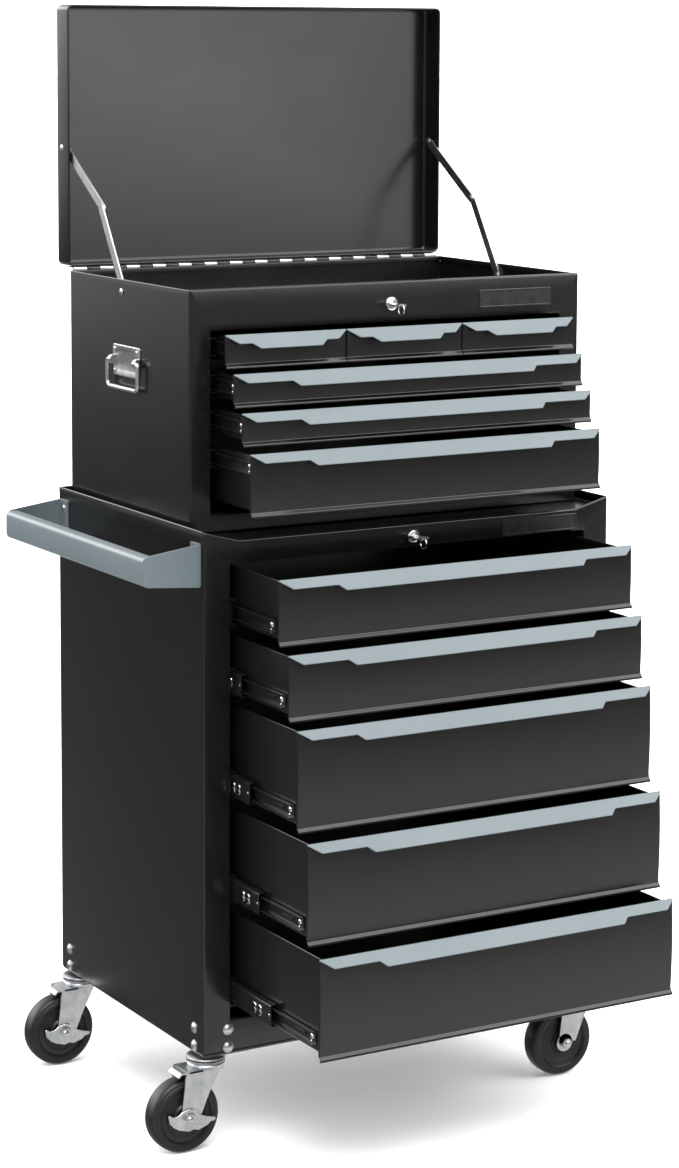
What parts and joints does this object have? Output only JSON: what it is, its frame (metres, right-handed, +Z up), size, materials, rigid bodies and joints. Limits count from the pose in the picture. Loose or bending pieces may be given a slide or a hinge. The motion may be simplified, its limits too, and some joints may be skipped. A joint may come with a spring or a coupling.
{
  "type": "rolling tool chest",
  "caption": "Roller tool cabinet on swivel casters with a drawer chest, top till and hinged lid; drawers with full-width pulls, side push handle and carrying bails.",
  "frame": {"origin": "middle of the bottom of the bounding box, on the floor under the wheels, with the lid up and the drawers stepped out", "axes": "+X to the right seen from the front, the drawer fronts face -Y, +Z up"},
  "size_m": [0.725, 0.711, 1.5024],
  "materials": {
    "black_paint": "semi-gloss powder coat",
    "trim_grey_blue": "satin",
    "bright_zinc": "bright zinc plate",
    "wheel_rubber": "matte",
    "slide_black": "satin black",
    "nickel": "nickel plate"
  },
  "bodies": {
    "cabinet": {"cabinet_shell": "black_paint", "cabinet_base": "black_paint", "cabinet_front_frame": "black_paint", "cabinet_top_tray": "black_paint", "cabinet_rails": "slide_black", "cabinet_lock": "nickel", "push_handle": "trim_grey_blue", "caster_mounts": "bright_zinc"},
    "chest": {"chest_shell": "black_paint", "chest_front_frame": "black_paint", "chest_till": "black_paint", "chest_rails": "slide_black", "chest_lock": "nickel", "bail_plates": "bright_zinc", "hinge_leaf_chest": "black_paint"},
    "lid": {"lid": "black_paint", "hinge_leaf_lid": "black_paint"},
    "stays_lower": {"stays_lower": "bright_zinc"},
    "stays_upper": {"stays_upper": "bright_zinc"},
    "cabinet_key": {"cabinet_key": "nickel"},
    "chest_key": {"chest_key": "nickel"},
    "carry_bail_left": {"carry_bail_left": "bright_zinc"},
    "carry_bail_right": {"carry_bail_right": "bright_zinc"},
    "cabinet_drawer_1": {"cabinet_drawer_1": "black_paint", "cabinet_drawer_pull_1": "trim_grey_blue"},
    "slide_middle_1": {"slide_middle_1": "slide_black"},
    "cabinet_drawer_2": {"cabinet_drawer_2": "black_paint", "cabinet_drawer_pull_2": "trim_grey_blue"},
    "slide_middle_2": {"slide_middle_2": "slide_black"},
    "cabinet_drawer_3": {"cabinet_drawer_3": "black_paint", "cabinet_drawer_pull_3": "trim_grey_blue"},
    "slide_middle_3": {"slide_middle_3": "slide_black"},
    "cabinet_drawer_4": {"cabinet_drawer_4": "black_paint", "cabinet_drawer_pull_4": "trim_grey_blue"},
    "slide_middle_4": {"slide_middle_4": "slide_black"},
    "cabinet_drawer_5": {"cabinet_drawer_5": "black_paint", "cabinet_drawer_pull_5": "trim_grey_blue"},
    "slide_middle_5": {"slide_middle_5": "slide_black"},
    "chest_drawer_2": {"chest_drawer_2": "black_paint", "chest_drawer_pull_2": "trim_grey_blue"},
    "chest_drawer_3": {"chest_drawer_3": "black_paint", "chest_drawer_pull_3": "trim_grey_blue"},
    "chest_drawer_4": {"chest_drawer_4": "black_paint", "chest_drawer_pull_4": "trim_grey_blue"},
    "small_drawer_left": {"small_drawer_left": "black_paint", "small_drawer_pull_left": "trim_grey_blue"},
    "small_drawer_middle": {"small_drawer_middle": "black_paint", "small_drawer_pull_middle": "trim_grey_blue"},
    "small_drawer_right": {"small_drawer_right": "black_paint", "small_drawer_pull_right": "trim_grey_blue"},
    "caster_fork_front_left": {"caster_fork_front_left": "bright_zinc"},
    "caster_wheel_front_left": {"caster_wheel_front_left": "wheel_rubber"},
    "caster_brake_front_left": {"caster_brake_front_left": "bright_zinc"},
    "caster_fork_front_right": {"caster_fork_front_right": "bright_zinc"},
    "caster_wheel_front_right": {"caster_wheel_front_right": "wheel_rubber"},
    "caster_fork_rear_left": {"caster_fork_rear_left": "bright_zinc"},
    "caster_wheel_rear_left": {"caster_wheel_rear_left": "wheel_rubber"},
    "caster_brake_rear_left": {"caster_brake_rear_left": "bright_zinc"},
    "caster_fork_rear_right": {"caster_fork_rear_right": "bright_zinc"},
    "caster_wheel_rear_right": {"caster_wheel_rear_right": "wheel_rubber"}
  },
  "joints": [
    {"name": "chest_lift", "type": "slide", "parent": "cabinet", "child": "chest", "axis": [0, 0, 1], "range_m": [0, 0.12]},
    {"name": "lid_hinge", "type": "hinge", "parent": "chest", "child": "lid", "pos_m": [0.0375, 0.3155, 1.136], "axis": [1, 0, 0], "range_deg": [0, 90]},
    {"name": "stay_lower_pivot", "type": "hinge", "parent": "chest", "child": "stays_lower", "pos_m": [0.0375, 0.149, 1.1174], "axis": [1, 0, 0], "range_deg": [0, 134.54]},
    {"name": "stay_upper_pivot", "type": "hinge", "parent": "lid", "child": "stays_upper", "pos_m": [0.0375, 0.336, 1.304], "axis": [1, 0, 0], "range_deg": [-95.74, 0]},
    {"name": "cabinet_key_turn", "type": "hinge", "parent": "cabinet", "child": "cabinet_key", "pos_m": [0.0375, -0.1115, 0.7985], "axis": [0, 1, 0], "range_deg": [0, 90]},
    {"name": "chest_key_turn", "type": "hinge", "parent": "chest", "child": "chest_key", "pos_m": [0.0375, -0.0505, 1.105], "axis": [0, 1, 0], "range_deg": [0, 90]},
    {"name": "carry_bail_left_swing", "type": "hinge", "parent": "chest", "child": "carry_bail_left", "pos_m": [-0.2735, 0.1325, 1.025], "axis": [0, 1, 0], "range_deg": [0, 100]},
    {"name": "carry_bail_right_swing", "type": "hinge", "parent": "chest", "child": "carry_bail_right", "pos_m": [0.3485, 0.1325, 1.025], "axis": [0, -1, 0], "range_deg": [0, 100]},
    {"name": "cabinet_drawer_1_slide", "type": "slide", "parent": "cabinet", "child": "cabinet_drawer_1", "axis": [0, -1, 0], "range_m": [-0.12, 0.22]},
    {"name": "slide_middle_1_slide", "type": "slide", "parent": "cabinet", "child": "slide_middle_1", "axis": [0, -1, 0], "range_m": [-0.06, 0.11]},
    {"name": "cabinet_drawer_2_slide", "type": "slide", "parent": "cabinet", "child": "cabinet_drawer_2", "axis": [0, -1, 0], "range_m": [-0.146, 0.194]},
    {"name": "slide_middle_2_slide", "type": "slide", "parent": "cabinet", "child": "slide_middle_2", "axis": [0, -1, 0], "range_m": [-0.073, 0.097]},
    {"name": "cabinet_drawer_3_slide", "type": "slide", "parent": "cabinet", "child": "cabinet_drawer_3", "axis": [0, -1, 0], "range_m": [-0.169, 0.171]},
    {"name": "slide_middle_3_slide", "type": "slide", "parent": "cabinet", "child": "slide_middle_3", "axis": [0, -1, 0], "range_m": [-0.0845, 0.0855]},
    {"name": "cabinet_drawer_4_slide", "type": "slide", "parent": "cabinet", "child": "cabinet_drawer_4", "axis": [0, -1, 0], "range_m": [-0.195, 0.145]},
    {"name": "slide_middle_4_slide", "type": "slide", "parent": "cabinet", "child": "slide_middle_4", "axis": [0, -1, 0], "range_m": [-0.0975, 0.0725]},
    {"name": "cabinet_drawer_5_slide", "type": "slide", "parent": "cabinet", "child": "cabinet_drawer_5", "axis": [0, -1, 0], "range_m": [-0.227, 0.113]},
    {"name": "slide_middle_5_slide", "type": "slide", "parent": "cabinet", "child": "slide_middle_5", "axis": [0, -1, 0], "range_m": [-0.1135, 0.0565]},
    {"name": "chest_drawer_2_slide", "type": "slide", "parent": "chest", "child": "chest_drawer_2", "axis": [0, -1, 0], "range_m": [-0.059, 0.191]},
    {"name": "chest_drawer_3_slide", "type": "slide", "parent": "chest", "child": "chest_drawer_3", "axis": [0, -1, 0], "range_m": [-0.0817, 0.1683]},
    {"name": "chest_drawer_4_slide", "type": "slide", "parent": "chest", "child": "chest_drawer_4", "axis": [0, -1, 0], "range_m": [-0.1043, 0.1457]},
    {"name": "small_drawer_left_slide", "type": "slide", "parent": "chest", "child": "small_drawer_left", "axis": [0, -1, 0], "range_m": [-0.0355, 0.2145]},
    {"name": "small_drawer_middle_slide", "type": "slide", "parent": "chest", "child": "small_drawer_middle", "axis": [0, -1, 0], "range_m": [-0.0355, 0.2145]},
    {"name": "small_drawer_right_slide", "type": "slide", "parent": "chest", "child": "small_drawer_right", "axis": [0, -1, 0], "range_m": [-0.0355, 0.2145]},
    {"name": "caster_swivel_front_left", "type": "hinge", "parent": "cabinet", "child": "caster_fork_front_left", "pos_m": [-0.2615, -0.0845, 0.1117], "axis": [0, 0, 1], "continuous": true},
    {"name": "wheel_spin_front_left", "type": "hinge", "parent": "caster_fork_front_left", "child": "caster_wheel_front_left", "pos_m": [-0.2975, -0.0845, 0.05], "axis": [0, 1, 0], "continuous": true},
    {"name": "brake_press_front_left", "type": "hinge", "parent": "caster_fork_front_left", "child": "caster_brake_front_left", "pos_m": [-0.2975, -0.0845, 0.05], "axis": [0, 1, 0], "range_deg": [0, 12]},
    {"name": "caster_swivel_front_right", "type": "hinge", "parent": "cabinet", "child": "caster_fork_front_right", "pos_m": [0.3365, -0.0845, 0.1117], "axis": [0, 0, 1], "continuous": true},
    {"name": "wheel_spin_front_right", "type": "hinge", "parent": "caster_fork_front_right", "child": "caster_wheel_front_right", "pos_m": [0.3005, -0.0845, 0.05], "axis": [0, 1, 0], "continuous": true},
    {"name": "caster_swivel_rear_left", "type": "hinge", "parent": "cabinet", "child": "caster_fork_rear_left", "pos_m": [-0.2615, 0.3015, 0.1117], "axis": [0, 0, 1], "continuous": true},
    {"name": "wheel_spin_rear_left", "type": "hinge", "parent": "caster_fork_rear_left", "child": "caster_wheel_rear_left", "pos_m": [-0.2975, 0.3015, 0.05], "axis": [0, 1, 0], "continuous": true},
    {"name": "brake_press_rear_left", "type": "hinge", "parent": "caster_fork_rear_left", "child": "caster_brake_rear_left", "pos_m": [-0.2975, 0.3015, 0.05], "axis": [0, 1, 0], "range_deg": [0, 12]},
    {"name": "caster_swivel_rear_right", "type": "hinge", "parent": "cabinet", "child": "caster_fork_rear_right", "pos_m": [0.3365, 0.3015, 0.1117], "axis": [0, 0, 1], "continuous": true},
    {"name": "wheel_spin_rear_right", "type": "hinge", "parent": "caster_fork_rear_right", "child": "caster_wheel_rear_right", "pos_m": [0.3005, 0.3015, 0.05], "axis": [0, 1, 0], "continuous": true}
  ],
  "couplings": [
    {"joint": "stay_lower_pivot", "follows": "lid_hinge", "ratio": 1.4948},
    {"joint": "stay_upper_pivot", "follows": "lid_hinge", "ratio": -1.0636},
    {"joint": "slide_middle_1_slide", "follows": "cabinet_drawer_1_slide", "ratio": 0.5},
    {"joint": "slide_middle_2_slide", "follows": "cabinet_drawer_2_slide", "ratio": 0.5},
    {"joint": "slide_middle_3_slide", "follows": "cabinet_drawer_3_slide", "ratio": 0.5},
    {"joint": "slide_middle_4_slide", "follows": "cabinet_drawer_4_slide", "ratio": 0.5},
    {"joint": "slide_middle_5_slide", "follows": "cabinet_drawer_5_slide", "ratio": 0.5}
  ]
}
